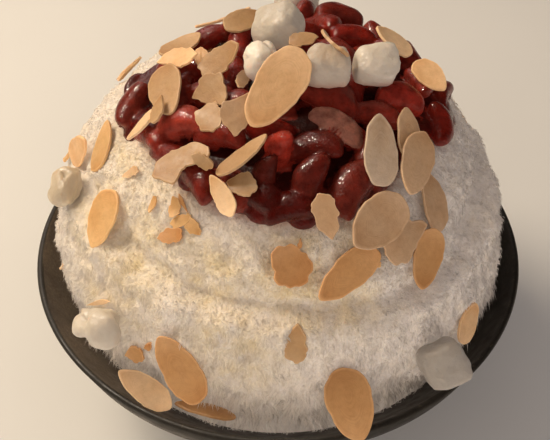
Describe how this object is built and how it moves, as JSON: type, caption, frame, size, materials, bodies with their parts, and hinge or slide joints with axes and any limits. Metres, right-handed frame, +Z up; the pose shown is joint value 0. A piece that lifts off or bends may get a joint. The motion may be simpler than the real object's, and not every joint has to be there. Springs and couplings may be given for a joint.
{
  "type": "bowl of red bean shaved milk ice",
  "caption": "Dark stoneware bowl heaped with fluffy shaved milk ice, topped with sweet red beans in syrup, rice cake cubes and toasted almond slices.",
  "frame": {"origin": "on the table, under the middle of the bowl's foot ring", "axes": "+Z up; -Y is the side that faces the viewer of the picture; +X is the viewer's right"},
  "size_m": [0.156, 0.1567, 0.1473],
  "materials": {
    "stoneware": "matte dark glaze, faintly speckled",
    "milk_ice": "dry, fluffy, matte, cream white with pale yellow milk tints",
    "red_bean": "glossy with syrup, deep red brown",
    "rice_cake": "soft, milky, slightly translucent and moist",
    "toasted_almond": "dry, matte, tan with paler edges"
  },
  "bodies": {
    "root": {"almond_back_left_edge": "toasted_almond", "almond_bridge": "toasted_almond", "almond_bumpy": "toasted_almond", "almond_corner_piece": "toasted_almond", "almond_crown_edge": "toasted_almond", "almond_curl": "toasted_almond", "almond_far_chip": "toasted_almond", "almond_far_crown": "toasted_almond", "almond_far_foot": "toasted_almond", "almond_far_high": "toasted_almond", "almond_far_left": "toasted_almond", "almond_far_low": "toasted_almond", "almond_far_pair": "toasted_almond", "almond_five_sided": "toasted_almond", "almond_front_chip": "toasted_almond", "almond_front_foot": "toasted_almond", "almond_hero": "toasted_almond", "almond_hooked": "toasted_almond", "almond_left_broad": "toasted_almond", "almond_left_corner": "toasted_almond", "almond_left_dark_chip": "toasted_almond", "almond_left_edge": "toasted_almond", "almond_left_flank": "toasted_almond", "almond_left_foot": "toasted_almond", "almond_left_high": "toasted_almond", "almond_left_sliver": "toasted_almond", "almond_left_tongue": "toasted_almond", "almond_needle_chip": "toasted_almond", "almond_notched": "toasted_almond", "almond_pale_right": "toasted_almond", "almond_ridge": "toasted_almond", "almond_right_edge": "toasted_almond", "almond_right_flank": "toasted_almond", "almond_right_foot": "toasted_almond", "almond_right_lower": "toasted_almond", "almond_rim_edge": "toasted_almond", "almond_rim_left": "toasted_almond", "almond_round": "toasted_almond", "almond_scar_left": "toasted_almond", "almond_small_oval": "toasted_almond", "almond_standing": "toasted_almond", "almond_sunk": "toasted_almond", "almond_tipped": "toasted_almond", "almond_triangle": "toasted_almond", "almond_upright_back": "toasted_almond", "almond_upright_front": "toasted_almond", "almond_upright_pale": "toasted_almond", "almond_wedge": "toasted_almond", "bowl": "stoneware", "red_beans": "red_bean", "rice_cake_crown": "rice_cake", "rice_cake_far_crown": "rice_cake", "rice_cake_far_side": "rice_cake", "rice_cake_left_edge": "rice_cake", "rice_cake_left_foot": "rice_cake", "rice_cake_right_foot": "rice_cake", "rice_cake_square": "rice_cake", "rice_cake_tilted": "rice_cake", "rice_cake_wet": "rice_cake", "shaved_ice": "milk_ice"}
  },
  "joints": []
}
